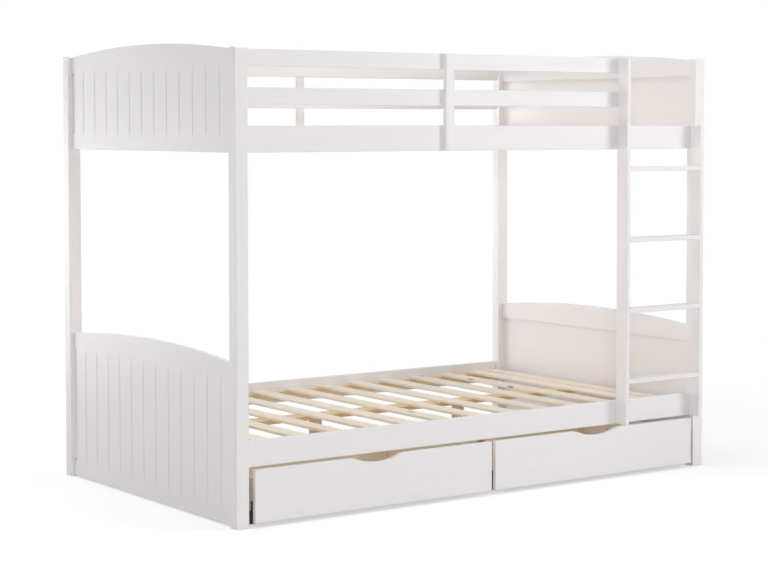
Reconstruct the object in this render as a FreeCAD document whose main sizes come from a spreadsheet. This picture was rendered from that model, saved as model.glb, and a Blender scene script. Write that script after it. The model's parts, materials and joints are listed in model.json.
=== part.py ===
import FreeCAD, Part
import math
import os
import re
import Sketcher

# A white bunk bed: four posts, grooved end boards with arched tops, guard rails, a fixed ladder,
# two slatted bunks and two drawers that roll out from under the lower bunk on castors.
# Millimetres, +X along the bed, -Y at the ladder side, +Z up from the floor.

SIZES = (
    # posts and footprint
    ("bed_length", 2106),
    ("bed_width", 1266),
    ("post_size_x", 48),
    ("post_size_y", 45),
    ("post_height", 1585),
    ("post_top_chamfer", 5),
    ("edge_chamfer", 1.5),
    # boards that run along the bed
    ("board_thickness", 18),
    ("board_setback", 10),
    ("side_rail_height", 88),
    ("lower_rail_base", 201),
    ("guard_top_drop", 6),
    ("guard_height", 57),
    ("guard_gap", 69.5),
    ("stile_width", 38),
    ("front_stile_offset", 821),
    # ladder
    ("ladder_thickness", 17),
    ("ladder_depth", 57),
    ("ladder_clear_width", 359.5),
    ("rung_first_base", 356.5),
    ("rung_top_drop", 83.5),
    ("rung_count", 4),
    # slats and what carries them
    ("slat_width", 65),
    ("slat_thickness", 10),
    ("slat_drop", 33),
    ("slat_first_offset", 166.5),
    ("slat_last_offset", 122),
    ("slat_inner_count", 12),
    ("slat_clearance", 2),
    ("cleat_height", 30),
    ("cleat_depth", 20),
    ("lower_beam_height", 16),
    ("lower_beam_depth", 80),
    ("upper_beam_height", 30),
    ("upper_beam_depth", 40),
    ("leg_size", 36),
    # end boards
    ("panel_thickness", 10),
    ("arch_rise", 31.5),
    ("arch_rail_height", 62),
    ("bottom_rail_height", 60),
    ("lower_board_base", 5),
    ("lower_board_shoulder", 545),
    ("groove_count", 12),
    ("groove_first_offset", 71.6),
    ("groove_last_offset", 107.8),
    ("groove_depth", 3),
    ("groove_ramp", 44),
    ("edge_rebate_depth", 6),
    ("front_rebate_width", 6),
    ("back_rebate_width", 29),
    # drawers
    ("drawer_side_gap", 18.5),
    ("drawer_middle_gap", 16.8),
    ("drawer_split_offset", 12.5),
    ("drawer_proud", 8),
    ("drawer_front_base", 15),
    ("drawer_front_height", 178),
    ("drawer_depth", 575),
    ("drawer_box_inset", 35),
    ("drawer_side_thickness", 12),
    ("drawer_side_base", 30),
    ("drawer_side_height", 120),
    ("drawer_bottom_thickness", 5),
    ("drawer_bottom_lift", 10),
    ("drawer_groove_depth", 5),
    ("scoop_width", 230),
    ("scoop_depth", 22),
    ("scoop_lip_radius", 70),
    # castors
    ("wheel_radius", 17.5),
    ("wheel_width", 14),
    ("wheel_chamfer", 1.2),
    ("wheel_hub_radius", 9),
    ("wheel_hub_recess", 1.5),
    ("wheel_inset", 50),
    ("axle_radius", 2.5),
    ("running_clearance", 0.05),
    ("castor_cheek", 3),
    ("castor_side_clearance", 0.5),
    ("castor_top_clearance", 3),
    ("castor_roof", 4),
    ("castor_length", 30),
    ("castor_ground_clearance", 9),
    ("castor_flange_height", 36),
    # fasteners
    ("rail_joint_edge", 22),
    ("guard_joint_edge", 18),
    ("bolt_radius", 3),
    ("bolt_head_radius", 6),
    ("bolt_head_height", 5),
    ("bolt_socket_radius", 2.8),
    ("bolt_socket_depth", 2.5),
    ("bolt_recess", 6),
    ("bolt_reach", 45),
    ("nut_radius", 5),
    ("nut_length", 12),
    ("nut_inset", 36),
    ("dowel_radius", 4),
    ("dowel_length", 40),
    ("dowel_chamfer", 0.8),
    ("dowel_end_gap", 0.5),
    ("rung_dowel_depth", 12),
    ("rung_dowel_spread", 32),
    ("screw_radius", 2),
    ("screw_head_radius", 4),
    ("screw_head_height", 2.5),
    ("screw_length", 30),
    ("screw_edge", 14),
    ("cleat_screw_count", 5),
    ("cleat_screw_inset", 60),
    ("hole_clearance", 0.2),
    ("fit_clearance", 0.2),
    ("cut_overrun", 2),
)

# Places that follow from the sizes above.
PLACES = (
    ("left_face", "-bed_length / 2"),
    ("right_face", "bed_length / 2"),
    ("left_inner", "left_face + post_size_x"),
    ("right_inner", "right_face - post_size_x"),
    ("inner_length", "right_inner - left_inner"),
    ("front_overhang", "ladder_depth - board_setback"),
    ("back_overhang", "board_thickness - board_setback"),
    ("front_face", "(front_overhang - bed_width - back_overhang) / 2"),
    ("back_face", "front_face + bed_width"),
    ("middle_y", "front_face + bed_width / 2"),
    ("back_post_y", "back_face - post_size_y"),
    ("rail_front_y", "front_face + board_setback"),
    ("rail_front_inner", "rail_front_y + board_thickness"),
    ("rail_front_mid", "rail_front_y + board_thickness / 2"),
    ("rail_back_outer", "back_face - board_setback"),
    ("rail_back_inner", "rail_back_outer - board_thickness"),
    ("rail_back_mid", "rail_back_inner + board_thickness / 2"),
    ("lower_rail_top", "lower_rail_base + side_rail_height"),
    ("guard_top", "post_height - guard_top_drop"),
    ("top_guard_base", "guard_top - guard_height"),
    ("mid_guard_base", "top_guard_base - guard_gap - guard_height"),
    ("upper_rail_top", "mid_guard_base - guard_gap"),
    ("upper_rail_base", "upper_rail_top - side_rail_height"),
    ("rung_last_base", "upper_rail_base - rung_top_drop"),
    ("rung_pitch", "(rung_last_base - rung_first_base) / (rung_count - 1)"),
    ("front_stile_x", "left_inner + front_stile_offset - stile_width / 2"),
    ("back_stile_x", "-stile_width / 2"),
    ("ladder_front_y", "rail_front_y - ladder_depth"),
    ("ladder_right_x", "right_inner - ladder_thickness"),
    ("ladder_left_end", "ladder_right_x - ladder_clear_width"),
    ("ladder_left_x", "ladder_left_end - ladder_thickness"),
    ("front_guard_length", "ladder_left_end - left_inner"),
    ("lower_slat_base", "lower_rail_top - slat_drop - slat_thickness"),
    ("upper_slat_base", "upper_rail_top - slat_drop - slat_thickness"),
    ("slat_near_y", "rail_front_inner + slat_clearance"),
    ("slat_length", "rail_back_inner - slat_clearance - slat_near_y"),
    ("slat_step", "(inner_length - slat_first_offset - slat_last_offset) / (slat_inner_count - 1)"),
    ("panel_x", "left_face + board_setback"),
    ("panel_inner_x", "panel_x + panel_thickness"),
    ("end_rail_thickness", "board_thickness - panel_thickness"),
    ("end_board_inner_x", "panel_x + board_thickness"),
    ("end_span", "bed_width - 2 * post_size_y"),
    ("end_near_y", "front_face + post_size_y"),
    ("end_far_y", "end_near_y + end_span"),
    ("arch_radius", "(end_span ^ 2 / 4 + arch_rise ^ 2) / (2 * arch_rise)"),
    ("upper_board_base", "upper_rail_base"),
    ("upper_board_shoulder", "guard_top"),
    ("upper_arch_base", "upper_board_shoulder - arch_rail_height"),
    ("lower_arch_base", "lower_board_shoulder - arch_rail_height"),
    ("upper_field_base", "upper_board_base + bottom_rail_height"),
    ("lower_field_base", "lower_board_base + bottom_rail_height"),
    ("groove_first_y", "end_near_y + groove_first_offset"),
    ("groove_run", "end_span - groove_first_offset - groove_last_offset"),
    ("groove_half_side", "groove_depth / sqrt(2)"),
    ("drawer_front_y", "front_face - drawer_proud"),
    ("drawer_box_y", "drawer_front_y + board_thickness"),
    ("drawer_end_y", "drawer_box_y + drawer_depth"),
    ("drawer_back_y", "drawer_end_y - drawer_side_thickness"),
    ("drawer_bottom_base", "drawer_side_base + drawer_bottom_lift"),
    ("drawer_groove_height", "drawer_bottom_thickness + fit_clearance"),
    ("drawer_tongue", "drawer_groove_depth - fit_clearance"),
    ("left_drawer_low_x", "left_inner + drawer_side_gap"),
    ("left_drawer_high_x", "drawer_split_offset - drawer_middle_gap / 2"),
    ("right_drawer_low_x", "drawer_split_offset + drawer_middle_gap / 2"),
    ("right_drawer_high_x", "right_inner - drawer_side_gap"),
    ("scoop_sum_radius", "(scoop_depth ^ 2 + scoop_width ^ 2 / 4) / (2 * scoop_depth)"),
    ("scoop_bowl_radius", "scoop_sum_radius - scoop_lip_radius"),
    ("castor_slot", "wheel_width + 2 * castor_side_clearance"),
    ("castor_width", "castor_slot + 2 * castor_cheek"),
    ("castor_low_z", "castor_ground_clearance - wheel_radius"),
    ("castor_roof_z", "wheel_radius + castor_top_clearance"),
    ("castor_top_z", "castor_roof_z + castor_roof"),
    ("axle_hole_radius", "axle_radius + running_clearance"),
    ("front_axle_y", "drawer_box_y + wheel_inset"),
    ("back_axle_y", "drawer_end_y - wheel_inset"),
    ("bolt_shank", "post_size_x - bolt_recess + bolt_reach"),
    ("bolt_hole_radius", "bolt_radius + hole_clearance"),
    ("bolt_recess_radius", "bolt_head_radius + hole_clearance"),
    ("bolt_bore_depth", "bolt_reach + cut_overrun"),
    ("nut_bore_radius", "nut_radius + hole_clearance / 2"),
    ("nut_bore_depth", "(board_thickness + nut_length) / 2"),
    ("dowel_hole_radius", "dowel_radius + hole_clearance / 2"),
    ("dowel_hole_depth", "dowel_length / 2 + dowel_end_gap"),
    ("end_dowel_x", "panel_x + board_thickness / 2"),
    ("screw_hole_radius", "screw_radius + hole_clearance"),
    ("screw_recess_radius", "screw_head_radius + hole_clearance"),
    ("screw_hole_depth", "screw_head_height + screw_length"),
    ("cleat_screw_step", "(inner_length - 2 * cleat_screw_inset) / (cleat_screw_count - 1)"),
)

doc = FreeCAD.newDocument("BunkBed")
sheet = doc.addObject("Spreadsheet::Sheet", "Sizes")
rows = [(alias, str(value)) for alias, value in SIZES]
rows += [(alias, "=" + formula) for alias, formula in PLACES]
for row, (alias, text) in enumerate(rows, start=1):
    sheet.set(f"A{row}", alias)
    sheet.set(f"B{row}", text)
    sheet.setAlias(f"B{row}", alias)
doc.recompute()

WORD = re.compile(r"[a-z][a-z_0-9]*")
ORIGIN = FreeCAD.Vector(0, 0, 0)
X_AXIS = FreeCAD.Vector(1, 0, 0)
Y_AXIS = FreeCAD.Vector(0, 1, 0)
Z_AXIS = FreeCAD.Vector(0, 0, 1)
# Turns that carry a cylinder's own axis, +Z, to another axis.
ALONG = {
    "+X": FreeCAD.Rotation(Y_AXIS, 90),
    "-X": FreeCAD.Rotation(Y_AXIS, -90),
    "+Y": FreeCAD.Rotation(X_AXIS, -90),
    "-Y": FreeCAD.Rotation(X_AXIS, 90),
}
QUARTER_TURN = FreeCAD.Rotation(Z_AXIS, 90)
HALF_TURN = FreeCAD.Rotation(Z_AXIS, 180)
nodes = []


def size(alias):
    """The value that a cell of the sheet holds now."""
    return float(sheet.get(alias))


def count(alias):
    """A whole number from the sheet."""
    return int(round(size(alias)))


def bind(thing, path, text):
    """Ties a property to an expression in the sheet's names."""
    thing.setExpression(path, WORD.sub(r"Sizes.\g<0>", text))


def place(thing, corner):
    """Ties a thing's position to three expressions."""
    for axis, text in zip("xyz", corner):
        bind(thing, f"Placement.Base.{axis}", text)


def new_body(label):
    """An empty body under its label."""
    body = doc.addObject("PartDesign::Body", label)
    body.Label = label
    return body


def keep(piece):
    """Marks a finished piece as a node of the part."""
    nodes.append(piece)
    return piece


def block(body, corner, extent, kind="Additive"):
    """A box of the body from its low corner, added or cut away."""
    feature = body.newObject(f"PartDesign::{kind}Box", "Block")
    place(feature, corner)
    for path, text in zip(("Length", "Width", "Height"), extent):
        bind(feature, path, text)


def slot(body, corner, extent):
    """A box cut out of the body."""
    block(body, corner, extent, kind="Subtractive")


def rod(body, axis, start, radius, length, kind="Additive"):
    """A cylinder of the body from the centre of its first end, added or cut away."""
    feature = body.newObject(f"PartDesign::{kind}Cylinder", "Rod")
    feature.Placement = FreeCAD.Placement(ORIGIN, ALONG[axis])
    place(feature, start)
    bind(feature, "Radius", radius)
    bind(feature, "Height", length)


def drill(body, axis, start, radius, length):
    """A round hole into the body from the centre of its mouth."""
    rod(body, axis, start, radius, length, kind="Subtractive")


def ease(body, chosen=None, amount="edge_chamfer"):
    """Breaks the edges of what the body holds so far, all of them or those that a test chooses."""
    doc.recompute()
    base = body.Tip
    edges = enumerate(base.Shape.Edges, start=1)
    names = [f"Edge{index}" for index, edge in edges if chosen is None or chosen(edge)]
    feature = body.newObject("PartDesign::Chamfer", "EasedEdges")
    feature.Base = (base, names)
    bind(feature, "Size", amount)


def board(label, corner, extent):
    """A straight board with eased edges."""
    body = new_body(label)
    block(body, corner, extent)
    ease(body)
    return body


def copy_of(master, corner, turn=None):
    """One more of a small repeated piece, placed by expressions."""
    link = doc.addObject("App::Link", master.Label + "_copy")
    link.LinkedObject = master
    link.Placement = FreeCAD.Placement(ORIGIN, turn or FreeCAD.Rotation())
    place(link, corner)
    return link


def group(label, members):
    """Separate equal solids that share one node."""
    compound = doc.addObject("Part::Compound", label)
    compound.Label = label
    compound.Links = members
    return keep(compound)


def mirrored(source, label):
    """The same piece at the other end of the bed."""
    twin = doc.addObject("Part::Mirroring", label)
    twin.Label = label
    twin.Source = source
    twin.Base = ORIGIN
    twin.Normal = X_AXIS
    return keep(twin)


def origin_part(body, role):
    """A plane or axis of the body's own origin."""
    return next(part for part in body.Origin.OriginFeatures if part.Role == role)


def sketch_on(body, role, offset):
    """An empty sketch on a plane of the body's origin, moved by three expressions."""
    sketch = body.newObject("Sketcher::SketchObject", "Outline")
    sketch.AttachmentSupport = [(origin_part(body, role), "")]
    sketch.MapMode = "FlatFace"
    for axis, text in zip("xyz", offset):
        bind(sketch, f"AttachmentOffset.Base.{axis}", text)
    return sketch


def constrain(sketch, *parts):
    """A sketch constraint without a size."""
    sketch.addConstraint(Sketcher.Constraint(*parts))


def dimension(sketch, name, text, *parts):
    """A sketch dimension that follows the sheet."""
    index = sketch.addConstraint(Sketcher.Constraint(*parts))
    sketch.renameConstraint(index, name)
    bind(sketch, f"Constraints.{name}", text)


def dowel():
    """A fluteless wooden dowel along +X with bevelled ends."""
    body = new_body("dowel")
    rod(body, "+X", ("0", "0", "0"), "dowel_radius", "dowel_length")
    ease(body, lambda edge: isinstance(edge.Curve, Part.Circle), "dowel_chamfer")
    return body


def bolt():
    """A bolt along +X whose head seats at the origin, with a hexagon socket."""
    body = new_body("bed_bolt")
    rod(body, "+X", ("-bolt_head_height", "0", "0"), "bolt_head_radius", "bolt_head_height")
    rod(body, "+X", ("0", "0", "0"), "bolt_radius", "bolt_shank")
    socket = body.newObject("PartDesign::SubtractivePrism", "Socket")
    socket.Placement = FreeCAD.Placement(ORIGIN, ALONG["+X"])
    place(socket, ("-bolt_head_height", "0", "0"))
    bind(socket, "Circumradius", "bolt_socket_radius")
    bind(socket, "Height", "bolt_socket_depth")
    return body


def barrel_nut():
    """A barrel nut along Y, centred, with its cross hole along X."""
    body = new_body("barrel_nut")
    rod(body, "+Y", ("0", "-nut_length / 2", "0"), "nut_radius", "nut_length")
    drill(body, "+X", ("-nut_radius", "0", "0"), "bolt_hole_radius", "2 * nut_radius")
    return body


def wood_screw():
    """A screw along +Y whose head seats at the origin."""
    body = new_body("wood_screw")
    rod(body, "+Y", ("0", "-screw_head_height", "0"), "screw_head_radius", "screw_head_height")
    rod(body, "+Y", ("0", "0", "0"), "screw_radius", "screw_length")
    return body


a_dowel = dowel()
a_bolt = bolt()
a_nut = barrel_nut()
a_screw = wood_screw()
dowels = []
bolts = []
nuts = []
screws = []

# Posts, with a bevelled top.
POSTS = (
    ("left", "front", "left_face", "front_face"),
    ("left", "back", "left_face", "back_post_y"),
    ("right", "front", "right_inner", "front_face"),
    ("right", "back", "right_inner", "back_post_y"),
)


def at_post_top(edge):
    """Whether an edge lies round a post's top face."""
    return min(vertex.Z for vertex in edge.Vertexes) > size("post_height") / 2


def from_floor(edge):
    """Whether an edge starts or lies at the floor."""
    return min(vertex.Z for vertex in edge.Vertexes) < size("edge_chamfer")


posts = {}
for end, side, low_x, low_y in POSTS:
    post = new_body(f"{side}_{end}_post")
    block(post, (low_x, low_y, "0"), ("post_size_x", "post_size_y", "post_height"))
    ease(post, at_post_top, "post_top_chamfer")
    ease(post, from_floor)
    posts[end, side] = keep(post)

# Rails along the bed, each bolted and dowelled to the posts that it reaches.
SIDE_RAIL = ("side_rail_height", "rail_joint_edge")
GUARD_RAIL = ("guard_height", "guard_joint_edge")
BOTH_POSTS = ("left", "right")
LEFT_POST = ("left",)
RAILS = (
    ("lower_front_rail", "front", "lower_rail_base", SIDE_RAIL, BOTH_POSTS, "inner_length"),
    ("lower_back_rail", "back", "lower_rail_base", SIDE_RAIL, BOTH_POSTS, "inner_length"),
    ("upper_front_rail", "front", "upper_rail_base", SIDE_RAIL, BOTH_POSTS, "inner_length"),
    ("upper_back_rail", "back", "upper_rail_base", SIDE_RAIL, BOTH_POSTS, "inner_length"),
    ("front_guard_mid_rail", "front", "mid_guard_base", GUARD_RAIL, LEFT_POST, "front_guard_length"),
    ("front_guard_top_rail", "front", "top_guard_base", GUARD_RAIL, LEFT_POST, "front_guard_length"),
    ("back_guard_mid_rail", "back", "mid_guard_base", GUARD_RAIL, BOTH_POSTS, "inner_length"),
    ("back_guard_top_rail", "back", "top_guard_base", GUARD_RAIL, BOTH_POSTS, "inner_length"),
)
# How a fastener points for each end and side: into the rail, into the post, and signs of those ways.
INTO_RAIL = {"left": "+X", "right": "-X"}
INTO_POST = {"left": "-X", "right": "+X"}
INWARD_SIGN = {"left": "+", "right": "-"}
OUTWARD = {"front": "-Y", "back": "+Y"}
OUTWARD_SIGN = {"front": "-", "back": "+"}
LOW_FACE = {"front": "rail_front_y", "back": "rail_back_inner"}

rails = {}
for label, side, base, (height, edge), ends, length in RAILS:
    rail = board(label, ("left_inner", LOW_FACE[side], base), (length, "board_thickness", height))
    rails[label] = keep(rail)
    middle = f"rail_{side}_mid"
    bolt_z = f"{base} + {height} - {edge}"
    dowel_z = f"{base} + {edge}"
    for end in ends:
        post = posts[end, side]
        sign = INWARD_SIGN[end]
        nut_x = f"{end}_inner {sign} nut_inset"
        nut_face = f"rail_{side}_inner"
        joint = (f"{end}_inner", middle, bolt_z)
        drill(rail, INTO_RAIL[end], joint, "bolt_hole_radius", "bolt_bore_depth")
        drill(rail, OUTWARD[side], (nut_x, nut_face, bolt_z), "nut_bore_radius", "nut_bore_depth")
        head = (f"{end}_face", middle, bolt_z)
        drill(post, INTO_RAIL[end], head, "bolt_hole_radius", "post_size_x")
        drill(post, INTO_RAIL[end], head, "bolt_recess_radius", "bolt_recess")
        seat = (f"{end}_face {sign} bolt_recess", middle, bolt_z)
        bolts.append(copy_of(a_bolt, seat, HALF_TURN if end == "right" else None))
        nuts.append(copy_of(a_nut, (nut_x, middle, bolt_z)))
        pin = (f"{end}_inner", middle, dowel_z)
        drill(rail, INTO_RAIL[end], pin, "dowel_hole_radius", "dowel_hole_depth")
        drill(post, INTO_POST[end], pin, "dowel_hole_radius", "dowel_hole_depth")
        dowels.append(copy_of(a_dowel, (f"{end}_inner - dowel_length / 2", middle, dowel_z)))


def screw_through(first, second, side, x, face, z):
    """A screw from the inner face of one board outwards into the board behind it."""
    way = OUTWARD[side]
    drill(first, way, (x, face, z), "screw_hole_radius", "screw_hole_depth")
    drill(first, way, (x, face, z), "screw_recess_radius", "screw_head_height")
    drill(second, way, (x, face, z), "screw_hole_radius", "screw_hole_depth")
    seat = f"{face} {OUTWARD_SIGN[side]} screw_head_height"
    screws.append(copy_of(a_screw, (x, seat, z), HALF_TURN if side == "front" else None))


# Heights at which something outside the rails is screwed on from their inner face.
SCREW_ROWS = {
    "lower_front_rail": "lower_rail_top - screw_edge",
    "upper_front_rail": "upper_rail_top - screw_edge",
    "upper_back_rail": "upper_rail_top - screw_edge",
    "front_guard_mid_rail": "mid_guard_base + guard_height / 2",
    "front_guard_top_rail": "top_guard_base + guard_height / 2",
    "back_guard_mid_rail": "mid_guard_base + guard_height / 2",
    "back_guard_top_rail": "top_guard_base + guard_height / 2",
}


def screw_to_rails(piece, side, x, labels):
    """Screws a piece to the outer faces of the named rails."""
    for label in labels:
        screw_through(rails[label], piece, side, x, f"rail_{side}_inner", SCREW_ROWS[label])


# Guard stiles, outside the guard rails.
STILES = (
    ("front", "front_stile_x", "rail_front_y - board_thickness"),
    ("back", "back_stile_x", "rail_back_outer"),
)
for side, low_x, low_y in STILES:
    stile = board(
        f"{side}_guard_stile",
        (low_x, low_y, "upper_rail_base"),
        ("stile_width", "board_thickness", "guard_top - upper_rail_base"),
    )
    held_by = (f"upper_{side}_rail", f"{side}_guard_mid_rail", f"{side}_guard_top_rail")
    screw_to_rails(stile, side, f"{low_x} + stile_width / 2", held_by)
    keep(stile)

# Ladder: a tall upright at the guard's end, a short one beside the post, rungs dowelled between them.
SIDE_RAILS = ("lower_front_rail", "upper_front_rail")
GUARD_RAILS = ("front_guard_mid_rail", "front_guard_top_rail")
UPRIGHTS = (
    ("left", "ladder_left_x", "guard_top", "ladder_left_end", SIDE_RAILS + GUARD_RAILS),
    ("right", "ladder_right_x", "upper_rail_top", "ladder_right_x", SIDE_RAILS),
)
rung_bases = [f"rung_first_base + {index} * rung_pitch" for index in range(count("rung_count"))]
rung_pieces = []
for index, rung_base in enumerate(rung_bases, start=1):
    rung = board(
        f"ladder_rung_{index}",
        ("ladder_left_end", "ladder_front_y", rung_base),
        ("ladder_clear_width", "ladder_depth", "ladder_thickness"),
    )
    rung_pieces.append(keep(rung))
for end, low_x, top, joint_x, held_by in UPRIGHTS:
    upright = board(
        f"ladder_{end}_upright",
        (low_x, "ladder_front_y", "lower_rail_base"),
        ("ladder_thickness", "ladder_depth", f"{top} - lower_rail_base"),
    )
    screw_to_rails(upright, "front", f"{low_x} + ladder_thickness / 2", held_by)
    sunk = "rung_dowel_depth" if end == "left" else "(dowel_length - rung_dowel_depth)"
    for rung, rung_base in zip(rung_pieces, rung_bases):
        for spread in ("- rung_dowel_spread / 2", "+ rung_dowel_spread / 2"):
            pin_y = f"ladder_front_y + ladder_depth / 2 {spread}"
            pin = (joint_x, pin_y, f"{rung_base} + ladder_thickness / 2")
            drill(upright, INTO_POST[end], pin, "dowel_hole_radius", "rung_dowel_depth + dowel_end_gap")
            rung_depth = "dowel_length - rung_dowel_depth + dowel_end_gap"
            drill(rung, INTO_RAIL[end], pin, "dowel_hole_radius", rung_depth)
            dowels.append(copy_of(a_dowel, (f"{joint_x} - {sunk}", pin_y, pin[2])))
    keep(upright)

# Slats, one against each end and the others evenly between, on cleats along the rails.
a_slat = board("slat", ("-slat_width / 2", "0", "0"), ("slat_width", "slat_length", "slat_thickness"))
slat_centres = ["left_inner + slat_clearance + slat_width / 2"]
for index in range(count("slat_inner_count")):
    slat_centres.append(f"left_inner + slat_first_offset + {index} * slat_step")
slat_centres.append("right_inner - slat_clearance - slat_width / 2")
CLEAT_LOW_Y = {"front": "rail_front_inner", "back": "rail_back_inner - cleat_depth"}
CLEAT_FACE = {"front": "rail_front_inner + cleat_depth", "back": "rail_back_inner - cleat_depth"}
cleats = []
for bunk in ("lower", "upper"):
    base = f"{bunk}_slat_base"
    group(f"{bunk}_slats", [copy_of(a_slat, (centre, "slat_near_y", base)) for centre in slat_centres])
    for side in ("front", "back"):
        cleat = board(
            f"{bunk}_{side}_cleat",
            ("left_inner", CLEAT_LOW_Y[side], f"{base} - cleat_height"),
            ("inner_length", "cleat_depth", "cleat_height"),
        )
        for index in range(count("cleat_screw_count")):
            x = f"left_inner + cleat_screw_inset + {index} * cleat_screw_step"
            rail = rails[f"{bunk}_{side}_rail"]
            screw_through(cleat, rail, side, x, CLEAT_FACE[side], f"{base} - cleat_height / 2")
        cleats.append(cleat)
group("slat_cleats", cleats)

# A beam under the middle of each bunk's slats, from end board to end board.
BEAM_ENDS = {"lower": "panel_inner_x", "upper": "end_board_inner_x"}
for bunk, low_x in BEAM_ENDS.items():
    depth = f"{bunk}_beam_depth"
    height = f"{bunk}_beam_height"
    beam = board(
        f"{bunk}_centre_beam",
        (low_x, f"middle_y - {depth} / 2", f"{bunk}_slat_base - {height}"),
        (f"-2 * {low_x}", depth, height),
    )
    keep(beam)

# Legs under the lower beam at the thirds of its length.
LEG_SHARES = ("1 / 3", "2 / 3")
legs = []
for index, share in enumerate(LEG_SHARES, start=1):
    leg = board(
        f"centre_leg_{index}",
        (f"left_inner + inner_length * {share} - leg_size / 2", "middle_y - leg_size / 2", "0"),
        ("leg_size", "leg_size", "lower_slat_base - lower_beam_height"),
    )
    legs.append(leg)
group("centre_legs", legs)


def arched(label, low_x, thickness, base, shoulder):
    """A board between the posts of the left end whose top rises in an arch."""
    body = new_body(label)
    sketch = sketch_on(body, "YZ_Plane", ("end_near_y", base, low_x))
    span = size("end_span")
    side = size(shoulder) - size(base)
    radius = size("arch_radius")
    centre = FreeCAD.Vector(span / 2, side + size("arch_rise") - radius, 0)
    lean = math.acos(span / 2 / radius)
    far_low = FreeCAD.Vector(span, 0, 0)
    far_high = FreeCAD.Vector(span, side, 0)
    near_high = FreeCAD.Vector(0, side, 0)
    sketch.addGeometry(Part.LineSegment(ORIGIN, far_low))
    sketch.addGeometry(Part.LineSegment(far_low, far_high))
    sketch.addGeometry(Part.ArcOfCircle(Part.Circle(centre, Z_AXIS, radius), lean, math.pi - lean))
    sketch.addGeometry(Part.LineSegment(near_high, ORIGIN))
    for first in range(4):
        constrain(sketch, "Coincident", first, 2, (first + 1) % 4, 1)
    constrain(sketch, "Coincident", 0, 1, -1, 1)
    constrain(sketch, "Horizontal", 0)
    constrain(sketch, "Vertical", 1)
    constrain(sketch, "Vertical", 3)
    constrain(sketch, "Equal", 1, 3)
    dimension(sketch, "span", "end_span", "DistanceX", 0, 1, 0, 2, span)
    dimension(sketch, "side", f"{shoulder} - {base}", "DistanceY", 1, 1, 1, 2, side)
    dimension(sketch, "arch", "arch_radius", "Radius", 2, radius)
    pad = body.newObject("PartDesign::Pad", "Board")
    pad.Profile = sketch
    bind(pad, "Length", thickness)
    return body


def on_face(plane_x):
    """A test for edges that lie on a face at a given place along the bed."""
    return lambda edge: all(abs(vertex.X - size(plane_x)) < size("edge_chamfer") for vertex in edge.Vertexes)


def repeat(body, cutter):
    """Repeats one cut of a panel across its width."""
    row = body.newObject("PartDesign::LinearPattern", "GrooveRow")
    row.Originals = [cutter]
    row.Direction = (origin_part(body, "Y_Axis"), [""])
    bind(row, "Length", "groove_run")
    bind(row, "Occurrences", "groove_count")
    body.Tip = row


def groove(body, level):
    """The row of stopped V grooves on the outer face of a panel, each running out in a ramp."""
    low = f"{level}_field_base + groove_ramp / 2"
    high = f"{level}_arch_base - groove_ramp / 2"
    trough = body.newObject("PartDesign::SubtractivePrism", "Groove")
    trough.Polygon = 4
    place(trough, ("panel_x", "groove_first_y", low))
    bind(trough, "Circumradius", "groove_depth")
    bind(trough, "Height", f"{high} - ({low})")
    repeat(body, trough)
    for end_z, tilt in ((high, 90), (low, -90)):
        ramp = body.newObject("PartDesign::SubtractiveWedge", "GrooveRamp")
        turn = FreeCAD.Rotation(Z_AXIS, 45) * FreeCAD.Rotation(X_AXIS, tilt)
        ramp.Placement = FreeCAD.Placement(ORIGIN, turn)
        place(ramp, ("panel_x", "groove_first_y", end_z))
        for path in ("Xmin", "Zmin"):
            bind(ramp, path, "-groove_half_side")
        for path in ("Xmax", "Zmax"):
            bind(ramp, path, "groove_half_side")
        for path in ("X2min", "Z2min", "X2max", "Z2max", "Ymin"):
            bind(ramp, path, "0")
        bind(ramp, "Ymax", "groove_ramp")
        repeat(body, ramp)


# Where an end board meets its posts: the side of the bed, the place, and the way into the board.
END_JOINTS = (("front", "end_near_y", "+Y"), ("back", "end_far_y", "-Y"))
END_DOWEL_PLACES = (("left", "end_dowel_x"), ("right", "-end_dowel_x"))
# Strips of a panel that are cut back beside its posts.
REBATES = (
    ("end_near_y", "front_rebate_width"),
    ("end_far_y - back_rebate_width", "back_rebate_width"),
)


def pin_to_posts(pieces, pin_z):
    """Dowels at both ends of a rail of the end boards, through both its layers, at both ends of the bed."""
    for side, joint_y, into_board in END_JOINTS:
        for end, pin_x in END_DOWEL_PLACES:
            mouth = (pin_x, joint_y, pin_z)
            drill(posts[end, side], OUTWARD[side], mouth, "dowel_hole_radius", "dowel_hole_depth")
            start = (pin_x, f"{joint_y} - dowel_length / 2", pin_z)
            dowels.append(copy_of(a_dowel, start, QUARTER_TURN))
        for piece in pieces:
            mouth = ("end_dowel_x", joint_y, pin_z)
            drill(piece, into_board, mouth, "dowel_hole_radius", "dowel_hole_depth")


# End boards: a grooved panel outside, with an arched rail and a bottom rail behind it.
for level in ("upper", "lower"):
    base = f"{level}_board_base"
    shoulder = f"{level}_board_shoulder"
    field_base = f"{level}_field_base"
    arch_base = f"{level}_arch_base"
    panel = arched(f"{level}_left_panel", "panel_x", "panel_thickness", base, shoulder)
    ease(panel, on_face("panel_x"))
    groove(panel, level)
    for low_y, width in REBATES:
        rebate = ("edge_rebate_depth", width, f"{arch_base} - {field_base}")
        slot(panel, ("panel_x", low_y, field_base), rebate)
    arch = arched(f"{level}_left_arch_rail", "panel_inner_x", "end_rail_thickness", arch_base, shoulder)
    ease(arch, on_face("end_board_inner_x"))
    bottom = new_body(f"{level}_left_bottom_rail")
    bottom_size = ("end_rail_thickness", "end_span", "bottom_rail_height")
    block(bottom, ("panel_inner_x", "end_near_y", base), bottom_size)
    ease(bottom, on_face("end_board_inner_x"))
    pin_to_posts((panel, arch), f"{arch_base} + arch_rail_height / 2")
    pin_to_posts((panel, bottom), f"{base} + bottom_rail_height / 2")
    for piece in (panel, arch, bottom):
        keep(piece)
        mirrored(piece, piece.Label.replace("_left_", "_right_"))


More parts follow.
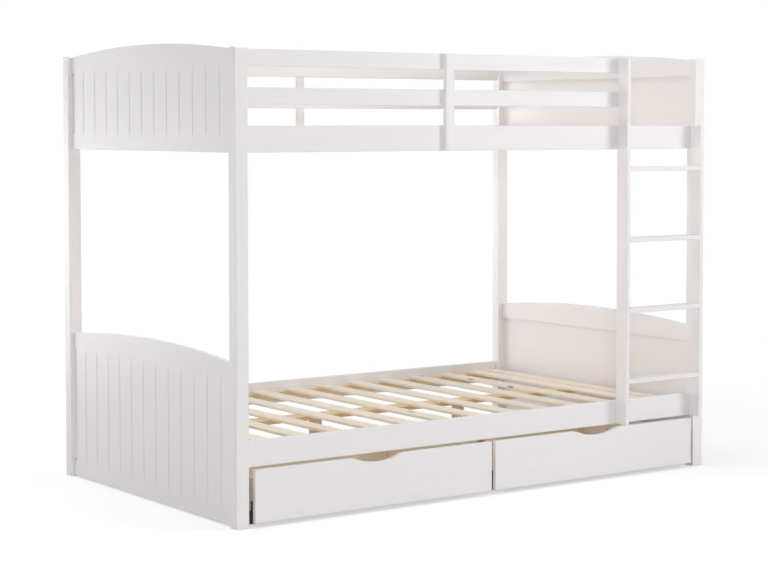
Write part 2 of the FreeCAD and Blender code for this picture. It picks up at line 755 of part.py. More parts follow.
def scoop(body, start_x):
    """The finger scoop in a drawer front's top edge: a shallow bowl between two rounded lips."""
    top = "drawer_front_base + drawer_front_height"
    sketch = sketch_on(body, "XZ_Plane", (start_x, top, "-drawer_front_y"))
    width = size("scoop_width")
    lip = size("scoop_lip_radius")
    bowl = size("scoop_bowl_radius")
    over = size("cut_overrun")
    turn = math.asin(width / 2 / (lip + bowl))
    up = math.pi / 2
    down = 3 * math.pi / 2
    left_centre = FreeCAD.Vector(0, -lip, 0)
    bowl_centre = FreeCAD.Vector(width / 2, bowl - size("scoop_depth"), 0)
    right_centre = FreeCAD.Vector(width, -lip, 0)
    right_end = FreeCAD.Vector(width, 0, 0)
    right_top = FreeCAD.Vector(width, over, 0)
    left_top = FreeCAD.Vector(0, over, 0)
    sketch.addGeometry(Part.ArcOfCircle(Part.Circle(left_centre, Z_AXIS, lip), up - turn, up))
    sketch.addGeometry(Part.ArcOfCircle(Part.Circle(bowl_centre, Z_AXIS, bowl), down - turn, down + turn))
    sketch.addGeometry(Part.ArcOfCircle(Part.Circle(right_centre, Z_AXIS, lip), up, up + turn))
    sketch.addGeometry(Part.LineSegment(right_end, right_top))
    sketch.addGeometry(Part.LineSegment(right_top, left_top))
    sketch.addGeometry(Part.LineSegment(left_top, ORIGIN))
    constrain(sketch, "Tangent", 0, 1, 1, 1)
    constrain(sketch, "Tangent", 1, 2, 2, 2)
    constrain(sketch, "Coincident", 2, 1, 3, 1)
    constrain(sketch, "Coincident", 3, 2, 4, 1)
    constrain(sketch, "Coincident", 4, 2, 5, 1)
    constrain(sketch, "Coincident", 5, 2, 0, 2)
    constrain(sketch, "Coincident", 0, 2, -1, 1)
    constrain(sketch, "PointOnObject", 2, 1, -1)
    constrain(sketch, "Vertical", 0, 3, 0, 2)
    constrain(sketch, "Vertical", 2, 3, 2, 1)
    constrain(sketch, "Vertical", 3)
    constrain(sketch, "Horizontal", 4)
    constrain(sketch, "Vertical", 5)
    constrain(sketch, "Equal", 0, 2)
    dimension(sketch, "width", "scoop_width", "DistanceX", 0, 2, 2, 1, width)
    dimension(sketch, "lip", "scoop_lip_radius", "Radius", 0, lip)
    dimension(sketch, "bowl", "scoop_bowl_radius", "Radius", 1, bowl)
    dimension(sketch, "over", "cut_overrun", "DistanceY", 5, 2, 5, 1, over)
    pocket = body.newObject("PartDesign::Pocket", "Scoop")
    pocket.Profile = sketch
    bind(pocket, "Length", "board_thickness + cut_overrun")


def castor():
    """A castor's fork about its axle, with a flange that lies against a drawer side at +X."""
    body = new_body("castor")
    low = ("-castor_width / 2", "-castor_length / 2", "castor_low_z")
    block(body, low, ("castor_width", "castor_length", "castor_top_z - castor_low_z"))
    flange = ("castor_width / 2 - castor_cheek", "-castor_length / 2", "castor_roof_z")
    block(body, flange, ("castor_cheek", "castor_length", "castor_flange_height"))
    gap = ("-castor_slot / 2", "-castor_length / 2", "castor_low_z")
    slot(body, gap, ("castor_slot", "castor_length", "castor_roof_z - castor_low_z"))
    drill(body, "+X", ("-castor_width / 2", "0", "0"), "axle_hole_radius", "castor_width")
    return body


def wheel():
    """A castor wheel about the X axis, with a bore and a shallow recess round its hub."""
    body = new_body("wheel")
    rod(body, "+X", ("-wheel_width / 2", "0", "0"), "wheel_radius", "wheel_width")
    ease(body, lambda edge: isinstance(edge.Curve, Part.Circle), "wheel_chamfer")
    drill(body, "+X", ("-wheel_width / 2", "0", "0"), "axle_hole_radius", "wheel_width")
    drill(body, "+X", ("-wheel_width / 2", "0", "0"), "wheel_hub_radius", "wheel_hub_recess")
    drill(body, "-X", ("wheel_width / 2", "0", "0"), "wheel_hub_radius", "wheel_hub_recess")
    return body


def axle():
    """A castor's axle pin about the X axis."""
    body = new_body("axle")
    rod(body, "+X", ("-castor_width / 2", "0", "0"), "axle_radius", "castor_width")
    return body


a_castor = castor()
a_wheel = wheel()
an_axle = axle()

# Drawers: a scooped front, a plain box with a grooved-in bottom, and a castor near each corner.
for name in ("left_drawer", "right_drawer"):
    low_x = f"{name}_low_x"
    high_x = f"{name}_high_x"
    inner_low = f"({low_x} + drawer_box_inset + drawer_side_thickness)"
    inner_high = f"({high_x} - drawer_box_inset - drawer_side_thickness)"
    front = new_body(f"{name}_front")
    front_size = (f"{high_x} - {low_x}", "board_thickness", "drawer_front_height")
    block(front, (low_x, "drawer_front_y", "drawer_front_base"), front_size)
    scoop(front, f"({low_x} + {high_x} - scoop_width) / 2")
    ease(front)
    groove_low = f"{inner_low} - drawer_groove_depth"
    groove_wide = f"{inner_high} - {inner_low} + 2 * drawer_groove_depth"
    slot(
        front,
        (groove_low, "drawer_box_y - drawer_groove_depth", "drawer_bottom_base"),
        (groove_wide, "drawer_groove_depth", "drawer_groove_height"),
    )
    keep(front)
    sides = (
        ("left", f"{low_x} + drawer_box_inset", groove_low),
        ("right", inner_high, inner_high),
    )
    for end, side_x, side_groove in sides:
        side = board(
            f"{name}_{end}_side",
            (side_x, "drawer_box_y", "drawer_side_base"),
            ("drawer_side_thickness", "drawer_depth", "drawer_side_height"),
        )
        run = "drawer_back_y + drawer_groove_depth - drawer_box_y"
        slot(
            side,
            (side_groove, "drawer_box_y", "drawer_bottom_base"),
            ("drawer_groove_depth", run, "drawer_groove_height"),
        )
        keep(side)
    back = board(
        f"{name}_back",
        (inner_low, "drawer_back_y", "drawer_side_base"),
        (f"{inner_high} - {inner_low}", "drawer_side_thickness", "drawer_side_height"),
    )
    slot(
        back,
        (inner_low, "drawer_back_y", "drawer_bottom_base"),
        (f"{inner_high} - {inner_low}", "drawer_groove_depth", "drawer_groove_height"),
    )
    keep(back)
    bottom = new_body(f"{name}_bottom")
    block(
        bottom,
        (f"{inner_low} - drawer_tongue", "drawer_box_y - drawer_tongue", "drawer_bottom_base"),
        (
            f"{inner_high} - {inner_low} + 2 * drawer_tongue",
            "drawer_back_y - drawer_box_y + 2 * drawer_tongue",
            "drawer_bottom_thickness",
        ),
    )
    keep(bottom)
    left_castor = f"{low_x} + drawer_box_inset - castor_width / 2"
    right_castor = f"{high_x} - drawer_box_inset + castor_width / 2"
    castors = []
    axles = []
    for row in ("front", "back"):
        wheels = []
        for castor_x, turn in ((left_castor, None), (right_castor, HALF_TURN)):
            centre = (castor_x, f"{row}_axle_y", "wheel_radius")
            castors.append(copy_of(a_castor, centre, turn))
            axles.append(copy_of(an_axle, centre))
            wheels.append(copy_of(a_wheel, centre))
        group(f"{name}_{row}_wheels", wheels)
    group(f"{name}_castors", castors)
    group(f"{name}_axles", axles)

group("dowels", dowels)
group("bed_bolts", bolts)
group("barrel_nuts", nuts)
group("wood_screws", screws)

doc.recompute()
failed = [thing.Label for thing in doc.Objects if {"Invalid", "Error"} & set(thing.State)]
if failed:
    raise RuntimeError(f"not built: {failed}")
for node in nodes:
    if node.Shape.isNull() or not node.Shape.isValid():
        raise RuntimeError(f"no valid shape: {node.Label}")
os.makedirs("parts", exist_ok=True)
for node in nodes:
    node.Shape.exportStep(f"parts/{node.Label}.step")
print(f"{len(nodes)} nodes, {sum(len(node.Shape.Solids) for node in nodes)} solids")
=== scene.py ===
import json
import math

import bmesh
import bpy
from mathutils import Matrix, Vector


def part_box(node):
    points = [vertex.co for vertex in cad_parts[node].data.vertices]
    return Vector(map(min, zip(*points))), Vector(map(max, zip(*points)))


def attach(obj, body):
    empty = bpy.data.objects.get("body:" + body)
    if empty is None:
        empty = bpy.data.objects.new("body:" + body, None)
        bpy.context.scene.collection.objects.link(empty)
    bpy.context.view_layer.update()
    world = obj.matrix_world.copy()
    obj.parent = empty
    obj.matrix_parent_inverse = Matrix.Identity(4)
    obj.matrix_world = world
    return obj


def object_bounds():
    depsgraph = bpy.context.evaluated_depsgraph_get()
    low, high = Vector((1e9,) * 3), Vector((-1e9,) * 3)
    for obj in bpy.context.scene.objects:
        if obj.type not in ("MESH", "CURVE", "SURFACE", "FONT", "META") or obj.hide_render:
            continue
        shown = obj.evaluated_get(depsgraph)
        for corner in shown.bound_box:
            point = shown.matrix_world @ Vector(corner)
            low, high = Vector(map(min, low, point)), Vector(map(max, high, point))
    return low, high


# The finishes of a white bunk bed, the covers over its bolts and nuts, a plain studio and the camera.
# Metres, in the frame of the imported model: +X along the bed, -Y at the ladder side, +Z up.

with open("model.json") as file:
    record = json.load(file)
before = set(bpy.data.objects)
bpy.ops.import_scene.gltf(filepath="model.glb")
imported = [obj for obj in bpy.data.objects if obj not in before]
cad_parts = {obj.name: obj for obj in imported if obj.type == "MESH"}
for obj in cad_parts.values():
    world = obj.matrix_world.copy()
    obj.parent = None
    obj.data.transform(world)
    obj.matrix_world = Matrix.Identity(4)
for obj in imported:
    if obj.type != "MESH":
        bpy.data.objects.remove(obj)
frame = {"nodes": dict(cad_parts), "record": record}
cad_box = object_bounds()
nodes = frame["nodes"]

# Linear colours.
LACQUER_PALE = (0.885, 0.857, 0.863)
LACQUER_GRAIN = (0.866, 0.837, 0.842)
LACQUER_WORN = (0.84, 0.80, 0.785)
PANEL_PALE = (0.882, 0.854, 0.863)
PANEL_CLOUD = (0.868, 0.840, 0.848)
# Painted shade for the panels' grooves and corners.
PANEL_GROOVE_SHADE = (0.60, 0.565, 0.555)
PALE_EARLYWOOD = (0.96, 0.89, 0.785)
PALE_MIDWOOD = (0.945, 0.845, 0.715)
PALE_LATEWOOD = (0.86, 0.715, 0.54)
# Pine darkened and warmed as painted shade, for the pieces under the slats.
SHADED_PINE_EARLYWOOD = (0.84, 0.67, 0.45)
SHADED_PINE_MIDWOOD = (0.79, 0.585, 0.345)
SHADED_PINE_LATEWOOD = (0.62, 0.42, 0.21)
KNOT = (0.36, 0.205, 0.10)
PLASTIC_LOW = (0.018, 0.018, 0.019)
PLASTIC_HIGH = (0.034, 0.034, 0.036)
ZINC_LOW = (0.50, 0.50, 0.49)
ZINC_HIGH = (0.68, 0.68, 0.66)
WHITE = (1.0, 1.0, 1.0)

# Radii over which each finish rolls round an edge.
LACQUER_EDGE = 0.0022
PANEL_EDGE = 0.0012
PINE_EDGE = 0.0015
EDGE_SAMPLES = 6
# How close a piece's own faces have to be for painted shade to darken the space between them.
GROOVE_REACH = 0.006
GROOVE_SAMPLES = 8
# The top coat of the white finishes, and the weak shine of bare wood.
COAT_WEIGHT = 0.12
LACQUER_COAT_ROUGHNESS = 0.22
PANEL_COAT_ROUGHNESS = 0.24
BARE_WOOD_SPECULAR = 0.3

AXES = "XYZ"


def add(tree, kind, inputs=None, **settings):
    """Adds a node, sets its options, and sets or links its inputs."""
    node = tree.nodes.new(kind)
    for name, value in settings.items():
        setattr(node, name, value)
    for name, value in (inputs or {}).items():
        if isinstance(value, bpy.types.NodeSocket):
            tree.links.new(value, node.inputs[name])
        else:
            node.inputs[name].default_value = value
    return node


def new_material(name):
    """A material, its node tree and its shader."""
    made = bpy.data.materials.new(name)
    made.use_nodes = True
    return made, made.node_tree, made.node_tree.nodes["Principled BSDF"]


def coordinates(tree, axis=None, along=1.0, across=1.0):
    """The piece's own coordinates, times one scale along an axis and another across it."""
    scale = [across] * 3
    if axis:
        scale[AXES.index(axis)] = along
    own = add(tree, "ShaderNodeTexCoord").outputs["Object"]
    return add(tree, "ShaderNodeMapping", {"Vector": own, "Scale": scale}).outputs["Vector"]


def noise(tree, vector, detail=4.0, roughness=0.55):
    """Smooth noise, mostly between 0.25 and 0.75, of about one lump per unit of the coordinates."""
    inputs = {"Vector": vector, "Scale": 1.0, "Detail": detail, "Roughness": roughness}
    return add(tree, "ShaderNodeTexNoise", inputs).outputs["Fac"]


def spread(tree, value, low, high, start=0.25, end=0.75):
    """A value between start and end, mapped to low and high; the defaults suit noise."""
    inputs = {"Value": value, "From Min": start, "From Max": end, "To Min": low, "To Max": high}
    return add(tree, "ShaderNodeMapRange", inputs).outputs["Result"]


def ramp(tree, value, stops):
    """Colours between stops of (place, colour)."""
    node = add(tree, "ShaderNodeValToRGB", {"Fac": value})
    elements = node.color_ramp.elements
    while len(elements) < len(stops):
        elements.new(0.5)
    for element, (place, colour) in zip(elements, stops):
        element.position = place
        element.color = (*colour, 1.0)
    return node.outputs["Color"]


def total(tree, first, second, share):
    """first plus share times second."""
    node = add(tree, "ShaderNodeMath", operation="MULTIPLY_ADD")
    tree.links.new(second, node.inputs[0])
    node.inputs[1].default_value = share
    tree.links.new(first, node.inputs[2])
    return node.outputs[0]


def blend_colours(tree, factor, first, second):
    """first where factor is 0, second where it is 1; each is a socket or a colour."""
    node = add(tree, "ShaderNodeMix", data_type="RGBA")
    tree.links.new(factor, node.inputs[0])
    for socket, colour in ((node.inputs[6], first), (node.inputs[7], second)):
        if isinstance(colour, bpy.types.NodeSocket):
            tree.links.new(colour, socket)
        else:
            socket.default_value = (*colour, 1.0)
    return node.outputs[2]


def rounded_edges(tree, radius):
    """A normal that rolls over each edge."""
    return add(tree, "ShaderNodeBevel", {"Radius": radius}, samples=EDGE_SAMPLES).outputs["Normal"]


def edge_mask(tree, rolled):
    """A mask that is 1 where a normal rolls over an edge, and 0 on a flat face."""
    flat = add(tree, "ShaderNodeNewGeometry").outputs["True Normal"]
    node = add(tree, "ShaderNodeVectorMath", operation="DOT_PRODUCT")
    tree.links.new(rolled, node.inputs[0])
    tree.links.new(flat, node.inputs[1])
    return spread(tree, node.outputs["Value"], low=1.0, high=0.0, start=0.80, end=0.99)


def shade_in_hollows(tree, reach):
    """A mask of painted shade: 1 deep in the piece's own grooves and corners, where its faces shut out
    light, and 0 on an open face.
    """
    settings = {"samples": GROOVE_SAMPLES, "only_local": True}
    open_share = add(tree, "ShaderNodeAmbientOcclusion", {"Distance": reach}, **settings).outputs["AO"]
    return spread(tree, open_share, low=1.0, high=0.0, start=0.55, end=0.95)


def bump(tree, height, distance, strength, normal=None):
    """A normal tilted by a height that is worth a distance."""
    inputs = {"Height": height, "Distance": distance, "Strength": strength}
    if normal:
        inputs["Normal"] = normal
    return add(tree, "ShaderNodeBump", inputs).outputs["Normal"]


def growth_rings(tree, axis):
    """Bands of early and late wood that run along a board and wander a little, from 0 to 1."""
    inputs = {
        "Vector": coordinates(tree, axis, along=0.035, across=1.0),
        "Scale": 78.0,
        "Distortion": 9.0,
        "Detail": 2.0,
        "Detail Scale": 0.16,
        "Detail Roughness": 0.45,
    }
    bands = add(tree, "ShaderNodeTexWave", inputs, bands_direction="DIAGONAL", wave_profile="SAW")
    return bands.outputs["Fac"]


def fibres(tree, axis):
    """Fine streaks along a board."""
    return noise(tree, coordinates(tree, axis, along=5.0, across=420.0), detail=5.0, roughness=0.62)


def lacquer(axis):
    """Satin white lacquer over pine, with the grain just showing along one axis."""
    made, tree, shader = new_material("white_lacquer_" + axis.lower())
    streaks = noise(tree, coordinates(tree, axis, along=2.2, across=95.0), detail=5.0)
    fine = fibres(tree, axis)
    grain = total(tree, spread(tree, streaks, low=0.0, high=0.8), fine, share=0.25)
    rolled = rounded_edges(tree, LACQUER_EDGE)
    rubbed = noise(tree, coordinates(tree, across=38.0), detail=3.0)
    wear = add(tree, "ShaderNodeMath", operation="MULTIPLY")
    tree.links.new(edge_mask(tree, rolled), wear.inputs[0])
    tree.links.new(spread(tree, rubbed, low=0.0, high=0.7, start=0.45, end=0.72), wear.inputs[1])
    colour = ramp(tree, grain, ((0.15, LACQUER_PALE), (0.95, LACQUER_GRAIN)))
    tree.links.new(blend_colours(tree, wear.outputs[0], colour, LACQUER_WORN), shader.inputs["Base Color"])
    tree.links.new(spread(tree, streaks, low=0.36, high=0.47), shader.inputs["Roughness"])
    tree.links.new(bump(tree, grain, distance=0.00018, strength=0.3, normal=rolled), shader.inputs["Normal"])
    shader.inputs["Coat Weight"].default_value = COAT_WEIGHT
    shader.inputs["Coat Roughness"].default_value = LACQUER_COAT_ROUGHNESS
    return made


def panel(axis):
    """Satin white lacquer sprayed on smooth board, with a faint orange peel and painted shade in the
    grooves.
    """
    made, tree, shader = new_material("white_panel_" + axis.lower())
    cloud = noise(tree, coordinates(tree, axis, along=2.0, across=9.0), detail=3.0)
    peel = noise(tree, coordinates(tree, across=420.0), detail=2.0)
    rolled = rounded_edges(tree, PANEL_EDGE)
    wear = spread(tree, edge_mask(tree, rolled), low=0.0, high=0.35, start=0.0, end=1.0)
    colour = ramp(tree, cloud, ((0.3, PANEL_PALE), (0.7, PANEL_CLOUD)))
    colour = blend_colours(tree, wear, colour, LACQUER_WORN)
    # Painted shade: an occlusion mask darkens the grooves and corners.
    colour = blend_colours(tree, shade_in_hollows(tree, GROOVE_REACH), colour, PANEL_GROOVE_SHADE)
    tree.links.new(colour, shader.inputs["Base Color"])
    tree.links.new(spread(tree, peel, low=0.38, high=0.46), shader.inputs["Roughness"])
    tree.links.new(bump(tree, peel, distance=0.00012, strength=0.3, normal=rolled), shader.inputs["Normal"])
    shader.inputs["Coat Weight"].default_value = COAT_WEIGHT
    shader.inputs["Coat Roughness"].default_value = PANEL_COAT_ROUGHNESS
    return made


def pine(name, axis, early, middle, late):
    """Planed bare pine: growth rings along one axis, fine fibres, boards of differing tone, a few knots."""
    made, tree, shader = new_material(name + "_" + axis.lower())
    rings = growth_rings(tree, axis)
    fine = fibres(tree, axis)
    tone = noise(tree, coordinates(tree, axis, along=0.5, across=7.5), detail=1.0)
    wood = spread(tree, rings, low=0.0, high=0.55, start=0.35, end=1.0)
    wood = total(tree, wood, spread(tree, fine, low=-0.3, high=0.3), share=0.55)
    wood = total(tree, wood, spread(tree, tone, low=-0.22, high=0.36), share=1.0)
    colour = ramp(tree, wood, ((0.0, early), (0.38, middle), (1.0, late)))
    spots = {"Vector": coordinates(tree, axis, along=2.6, across=6.0), "Scale": 1.0, "Randomness": 1.0}
    cells = add(tree, "ShaderNodeTexVoronoi", spots)
    knot = spread(tree, cells.outputs["Distance"], low=0.85, high=0.0, start=0.035, end=0.075)
    tree.links.new(blend_colours(tree, knot, colour, KNOT), shader.inputs["Base Color"])
    tree.links.new(spread(tree, fine, low=0.50, high=0.66), shader.inputs["Roughness"])
    rolled = rounded_edges(tree, PINE_EDGE)
    tree.links.new(bump(tree, wood, distance=0.00025, strength=0.4, normal=rolled), shader.inputs["Normal"])
    shader.inputs["Specular IOR Level"].default_value = BARE_WOOD_SPECULAR
    return made


def pale_pine(axis):
    """The pine of slats and drawer boxes."""
    return pine("pale_pine", axis, PALE_EARLYWOOD, PALE_MIDWOOD, PALE_LATEWOOD)


def shaded_pine(axis):
    """Darker, warmer pine that paints in the shade under the slats, for the pieces there."""
    return pine("shaded_pine", axis, SHADED_PINE_EARLYWOOD, SHADED_PINE_MIDWOOD, SHADED_PINE_LATEWOOD)


def plastic():
    """Moulded black plastic with a fine texture."""
    made, tree, shader = new_material("castor_plastic")
    grains = noise(tree, coordinates(tree, across=900.0), detail=3.0)
    colour = ramp(tree, grains, ((0.3, PLASTIC_LOW), (0.7, PLASTIC_HIGH)))
    tree.links.new(colour, shader.inputs["Base Color"])
    tree.links.new(spread(tree, grains, low=0.42, high=0.60), shader.inputs["Roughness"])
    tree.links.new(bump(tree, grains, distance=0.0001, strength=0.4), shader.inputs["Normal"])
    return made


def steel():
    """Zinc-plated steel with fine tool marks."""
    made, tree, shader = new_material("zinc_steel")
    marks = noise(tree, coordinates(tree, across=650.0), detail=4.0)
    colour = ramp(tree, marks, ((0.3, ZINC_LOW), (0.7, ZINC_HIGH)))
    tree.links.new(colour, shader.inputs["Base Color"])
    tree.links.new(spread(tree, marks, low=0.26, high=0.44), shader.inputs["Roughness"])
    tree.links.new(bump(tree, marks, distance=0.00005, strength=0.3), shader.inputs["Normal"])
    shader.inputs["Metallic"].default_value = 1.0
    return made


GRAINED_FINISHES = {"white_lacquer": lacquer, "white_panel": panel, "natural_pine": pale_pine}
PLAIN_FINISHES = {"castor_plastic": plastic, "steel": steel}
# Groups whose pieces run another way than the group.
GRAIN_AXES = {"lower_slats": "Y", "upper_slats": "Y", "centre_legs": "Z"}
# Pieces under the slats, given darker pine as painted shade, and screws with a white coat.
SHADED_PINE_NODES = ("lower_centre_beam", "upper_centre_beam", "centre_legs", "slat_cleats")
COATED_NODES = {"wood_screws": "white_panel"}
made_finishes = {}


def long_axis(node):
    """The axis along which a node is longest."""
    low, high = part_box(node)
    sides = high - low
    return AXES[max(range(3), key=lambda i: sides[i])]


def finish(slot, axis, in_shade=False):
    """The material of a slot, made once, or once for each axis where it has a grain."""
    key = slot if slot in PLAIN_FINISHES else (slot, axis, in_shade)
    if key not in made_finishes:
        if slot in PLAIN_FINISHES:
            made_finishes[key] = PLAIN_FINISHES[slot]()
        # Pieces under the slats get the pine with painted shade.
        elif in_shade:
            made_finishes[key] = shaded_pine(axis)
        else:
            made_finishes[key] = GRAINED_FINISHES[slot](axis)
    return made_finishes[key]


for part in frame["record"]["subparts"]:
    name = part["node"]
    axis = GRAIN_AXES.get(name) or long_axis(name)
    for slot in nodes[name].material_slots:
        look = COATED_NODES.get(name, part["material_slot"])
        slot.material = finish(look, axis, name in SHADED_PINE_NODES)

# Covers over the bolt heads and the nuts

CAP_RADIUS = 0.0085
CAP_PLUG_RADII = {"bed_bolts": 0.0058, "barrel_nuts": 0.0046}
CAP_PLUG_DEPTH = 0.0008
CAP_RIM = 0.00015
CAP_CROWN = 0.0005
CAP_STEPS = 8
CAP_SIDES = 40
CAP_SHARP = math.radians(40.0)
SAME_POINT = 1e-6
UP = Vector((0.0, 0.0, 1.0))


def islands(node):
    """The low and high corners of each separate solid in a node."""
    mesh = bmesh.new()
    mesh.from_mesh(nodes[node].data)
    bmesh.ops.remove_doubles(mesh, verts=mesh.verts, dist=SAME_POINT)
    left = set(mesh.verts)
    boxes = []
    while left:
        reached = [left.pop()]
        for vertex in reached:
            for edge in vertex.link_edges:
                other = edge.other_vert(vertex)
                if other in left:
                    left.remove(other)
                    reached.append(other)
        places = [v.co for v in reached]
        low = Vector([min(p[i] for p in places) for i in range(3)])
        high = Vector([max(p[i] for p in places) for i in range(3)])
        boxes.append((low, high))
    mesh.free()
    return sorted(boxes, key=lambda box: tuple(box[0]))


def cap_profile(plug):
    """Half the section of a cover, from the middle of its plug round to the top of its crown."""
    points = [(0.0, -CAP_PLUG_DEPTH), (plug, -CAP_PLUG_DEPTH), (plug, 0.0)]
    points += [(CAP_RADIUS, 0.0), (CAP_RADIUS, CAP_RIM)]
    for step in range(1, CAP_STEPS + 1):
        turn = math.pi / 2 * step / CAP_STEPS
        points.append((CAP_RADIUS * math.cos(turn), CAP_RIM + (CAP_CROWN - CAP_RIM) * math.sin(turn)))
    return points


def lathe(mesh, profile, centre, outward):
    """Turns a profile of (radius, height) round a level axis that points outward."""
    across = UP.cross(outward)
    rings = []
    for radius, height in profile:
        middle = centre + height * outward
        if radius < SAME_POINT:
            rings.append([mesh.verts.new(middle)])
            continue
        ring = []
        for side in range(CAP_SIDES):
            turn = 2 * math.pi * side / CAP_SIDES
            ring.append(mesh.verts.new(middle + radius * (math.cos(turn) * across + math.sin(turn) * UP)))
        rings.append(ring)
    for inner, outer in zip(rings, rings[1:]):
        for side in range(CAP_SIDES):
            after = (side + 1) % CAP_SIDES
            round_face = ((inner, side), (outer, side), (outer, after), (inner, after))
            corners = [ring[i % len(ring)] for ring, i in round_face]
            mesh.faces.new(list(dict.fromkeys(corners)))


def hole_mouth(node, middle):
    """The middle of the hole over a bolt or a nut, on the face where it opens, and the way it faces."""
    mouth = middle.copy()
    if node == "bed_bolts":
        outward = Vector((math.copysign(1.0, middle.x), 0.0, 0.0))
        mouth.x = outward.x * cad_box[1].x
    elif middle.y < 0:
        outward = Vector((0.0, 1.0, 0.0))
        mouth.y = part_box("lower_front_rail")[1].y
    else:
        outward = Vector((0.0, -1.0, 0.0))
        mouth.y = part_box("lower_back_rail")[0].y
    return mouth, outward


def covers(node, name):
    """Snap-in covers, one over each bolt head on the posts' ends or each nut inside the rails."""
    mesh = bmesh.new()
    for low, high in islands(node):
        lathe(mesh, cap_profile(CAP_PLUG_RADII[node]), *hole_mouth(node, (low + high) / 2))
    bmesh.ops.recalc_face_normals(mesh, faces=mesh.faces)
    data = bpy.data.meshes.new(name)
    mesh.to_mesh(data)
    mesh.free()
    for polygon in data.polygons:
        polygon.use_smooth = True
    data.set_sharp_from_angle(angle=CAP_SHARP)
    made = bpy.data.objects.new(name, data)
    bpy.context.scene.collection.objects.link(made)
    data.materials.append(finish("white_panel", "Z"))
    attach(made, "frame")


covers("bed_bolts", "bolt_covers")
covers("barrel_nuts", "nut_covers")

# The studio

FLOOR_RADIUS = 40.0
FLOOR_SIDES = 96
# The floor to look at, with some light of its own, and the floor as it lights the bed.
FLOOR_COLOUR = (0.6, 0.6, 0.6)
FLOOR_LIFT = 0.50
FLOOR_BOUNCE = (0.86, 0.86, 0.86)
# Distance from the bed's middle at which its shadow on the floor begins to fade, and has faded.
SHADOW_FADES = 1.6
SHADOW_GONE = 3.2
# Strength of the light from all round.
EVEN_LIGHT = 0.19
BED_MIDDLE = Vector((0.0, 0.0, 0.8))
BED_FOOT = Vector((0.0, 0.0, 0.1))
LEFT_END = Vector((-0.9, 0.0, 0.8))
LEFT_FOOT = Vector((-1.0, 0.2, 0.3))
# name, place, what it points at, width, watts
LAMPS = (
    ("key_softbox", (4.0, -5.1, 2.2), BED_MIDDLE, 2.4, 115.0),
    ("front_softbox", (-4.7, -6.7, 1.55), BED_MIDDLE, 1.2, 137.0),
    ("back_softbox", (0.0, 4.4, 0.6), BED_FOOT, 2.4, 56.0),
    ("end_softbox", (-1.9, 4.4, 1.2), LEFT_END, 2.0, 40.0),
    ("low_end_softbox", (-2.2, 3.4, 0.45), LEFT_FOOT, 1.6, 20.0),
    ("left_overhead_softbox", (-1.6, 0.2, 6.5), BED_MIDDLE, 3.6, 168.0),
    ("right_overhead_softbox", (1.6, -1.0, 6.5), BED_MIDDLE, 3.6, 96.0),
)


def seen_directly(tree):
    """1 for rays from the camera or off a mirror or through glass, and 0 for rays that light surfaces."""
    path = add(tree, "ShaderNodeLightPath")
    either = path.outputs["Is Camera Ray"]
    for name in ("Is Glossy Ray", "Is Transmission Ray"):
        node = add(tree, "ShaderNodeMath", operation="MAXIMUM")
        tree.links.new(either, node.inputs[0])
        tree.links.new(path.outputs[name], node.inputs[1])
        either = node.outputs[0]
    return either


def white_world():
    """White to look at, and a weaker even light on the bed."""
    world = bpy.data.worlds.new("studio")
    world.use_nodes = True
    bpy.context.scene.world = world
    tree = world.node_tree
    fill = tree.nodes["Background"]
    fill.inputs["Color"].default_value = (*WHITE, 1.0)
    fill.inputs["Strength"].default_value = EVEN_LIGHT
    white = add(tree, "ShaderNodeBackground", {"Color": (*WHITE, 1.0)})
    both = add(tree, "ShaderNodeMixShader", {"Fac": seen_directly(tree)})
    tree.links.new(fill.outputs[0], both.inputs[1])
    tree.links.new(white.outputs[0], both.inputs[2])
    tree.links.new(both.outputs[0], tree.nodes["World Output"].inputs["Surface"])


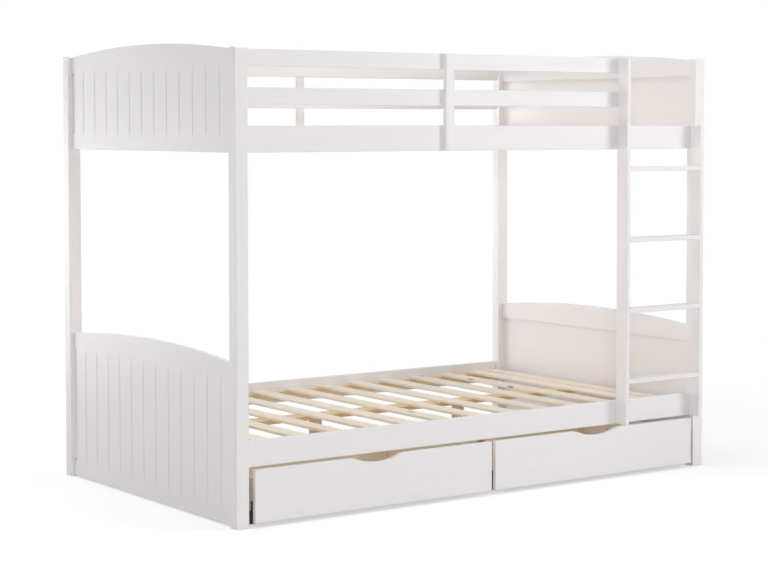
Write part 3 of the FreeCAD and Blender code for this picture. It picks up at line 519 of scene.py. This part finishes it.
def pale_floor():
    """A floor that is white away from the bed and keeps the bed's soft shadow."""
    mesh = bmesh.new()
    bmesh.ops.create_circle(mesh, cap_ends=True, segments=FLOOR_SIDES, radius=FLOOR_RADIUS)
    data = bpy.data.meshes.new("floor")
    mesh.to_mesh(data)
    mesh.free()
    floor = bpy.data.objects.new("floor", data)
    bpy.context.scene.collection.objects.link(floor)
    made = bpy.data.materials.new("floor")
    made.use_nodes = True
    tree = made.node_tree
    tree.nodes.remove(tree.nodes["Principled BSDF"])
    matt = add(tree, "ShaderNodeBsdfDiffuse", {"Color": (*FLOOR_COLOUR, 1.0)})
    lift = add(tree, "ShaderNodeEmission", {"Color": (*WHITE, 1.0), "Strength": FLOOR_LIFT})
    near = add(tree, "ShaderNodeAddShader")
    tree.links.new(matt.outputs[0], near.inputs[0])
    tree.links.new(lift.outputs[0], near.inputs[1])
    white = add(tree, "ShaderNodeEmission", {"Color": (*WHITE, 1.0)})
    place = add(tree, "ShaderNodeTexCoord").outputs["Object"]
    distance = add(tree, "ShaderNodeVectorMath", {"Vector": place}, operation="LENGTH").outputs["Value"]
    fade = {"Value": distance, "From Min": SHADOW_FADES, "From Max": SHADOW_GONE}
    away = add(tree, "ShaderNodeMapRange", fade, interpolation_type="SMOOTHSTEP").outputs["Result"]
    seen = add(tree, "ShaderNodeMixShader", {"Fac": away})
    tree.links.new(near.outputs[0], seen.inputs[1])
    tree.links.new(white.outputs[0], seen.inputs[2])
    both = add(tree, "ShaderNodeMixShader", {"Fac": seen_directly(tree)})
    bounce = add(tree, "ShaderNodeBsdfDiffuse", {"Color": (*FLOOR_BOUNCE, 1.0)})
    tree.links.new(bounce.outputs[0], both.inputs[1])
    tree.links.new(seen.outputs[0], both.inputs[2])
    tree.links.new(both.outputs[0], tree.nodes["Material Output"].inputs["Surface"])
    data.materials.append(made)


def softbox(name, place, target, width, watts):
    """A square lamp that faces its target."""
    data = bpy.data.lights.new(name, "AREA")
    data.size = width
    data.energy = watts
    lamp = bpy.data.objects.new(name, data)
    lamp.location = place
    lamp.rotation_mode = "QUATERNION"
    lamp.rotation_quaternion = (target - lamp.location).to_track_quat("-Z", "Y")
    bpy.context.scene.collection.objects.link(lamp)


white_world()
pale_floor()
for lamp in LAMPS:
    softbox(*lamp)

# The camera

CAMERA_PLACE = (-4.3048, -6.1034, 1.3319)
CAMERA_YAW = math.radians(35.9375)
CAMERA_PITCH = math.radians(2.8129)
CAMERA_LENS = 91.603
CAMERA_SENSOR = 36.0
CAMERA_SHIFT = (-0.04234, -0.0885)

optics = bpy.data.cameras.new("camera")
optics.lens = CAMERA_LENS
optics.sensor_width = CAMERA_SENSOR
optics.shift_x, optics.shift_y = CAMERA_SHIFT
camera = bpy.data.objects.new("camera", optics)
camera.location = CAMERA_PLACE
camera.rotation_euler = (math.pi / 2 - CAMERA_PITCH, 0.0, -CAMERA_YAW)
bpy.context.scene.collection.objects.link(camera)
bpy.context.scene.camera = camera
bpy.context.scene.view_settings.view_transform = "Standard"
